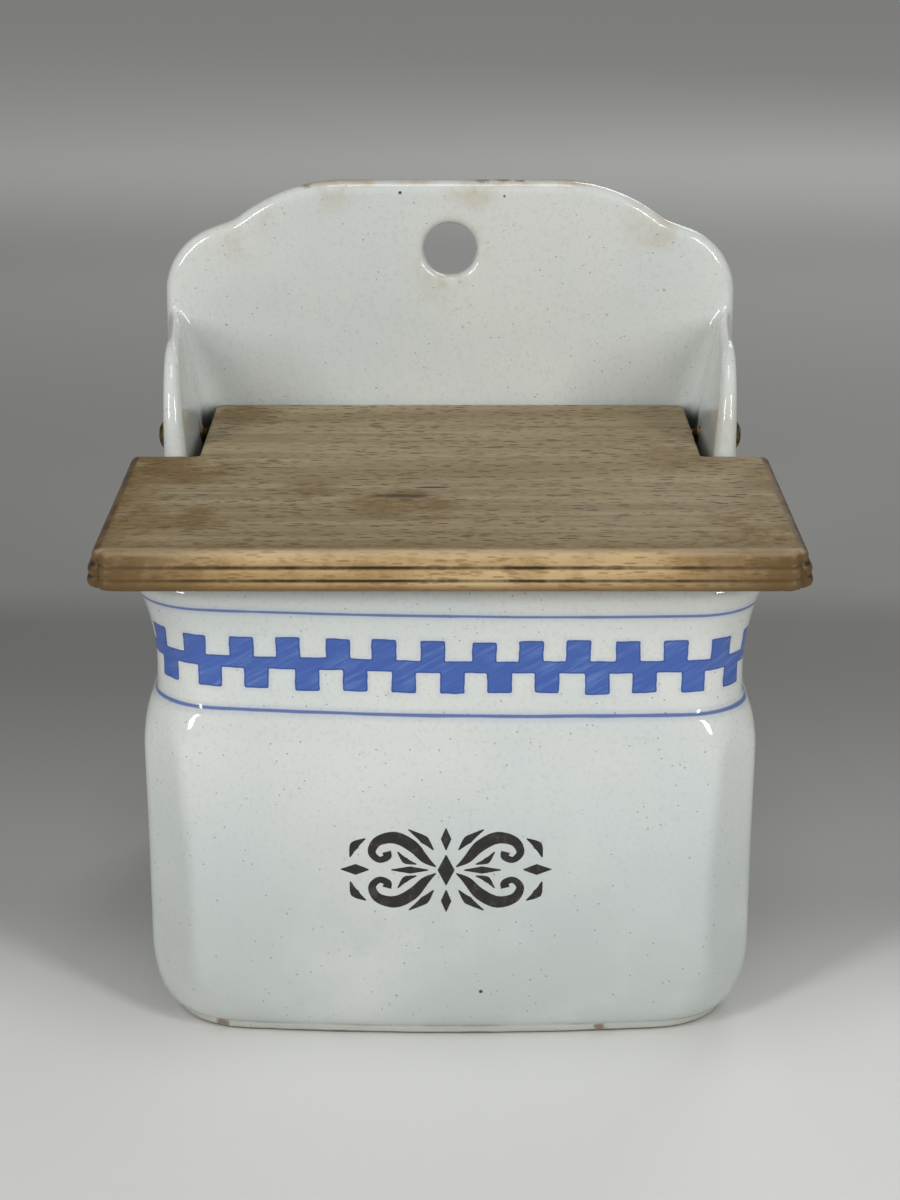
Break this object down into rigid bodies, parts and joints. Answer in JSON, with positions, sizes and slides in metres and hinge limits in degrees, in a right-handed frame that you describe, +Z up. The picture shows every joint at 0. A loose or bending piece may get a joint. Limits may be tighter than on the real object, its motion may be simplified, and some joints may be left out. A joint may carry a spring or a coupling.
{
  "type": "salt box",
  "caption": "Wall salt box: a glazed ceramic casting with a back plate, a hanging hole and two ears, and a beech lid that swings up on two wood screws.",
  "frame": {"origin": "middle of the footprint, on the surface that the box stands on", "axes": "+Z up, +Y towards the wall at the back, the front of the box faces -Y, +X to the right seen from the front"},
  "size_m": [0.1786, 0.1622, 0.2026],
  "materials": {
    "glazed_ceramic": "gloss",
    "beech": "matte",
    "screw_brass": "satin"
  },
  "bodies": {
    "ceramic": {"ceramic_box": "glazed_ceramic"},
    "lid": {"lid": "beech", "hinge_screw_left": "screw_brass", "hinge_screw_right": "screw_brass"}
  },
  "joints": [
    {"name": "lid_hinge", "type": "hinge", "parent": "ceramic", "child": "lid", "pos_m": [0, 0.055, 0.1321], "axis": [-1, 0, 0], "range_deg": [0, 98]}
  ]
}
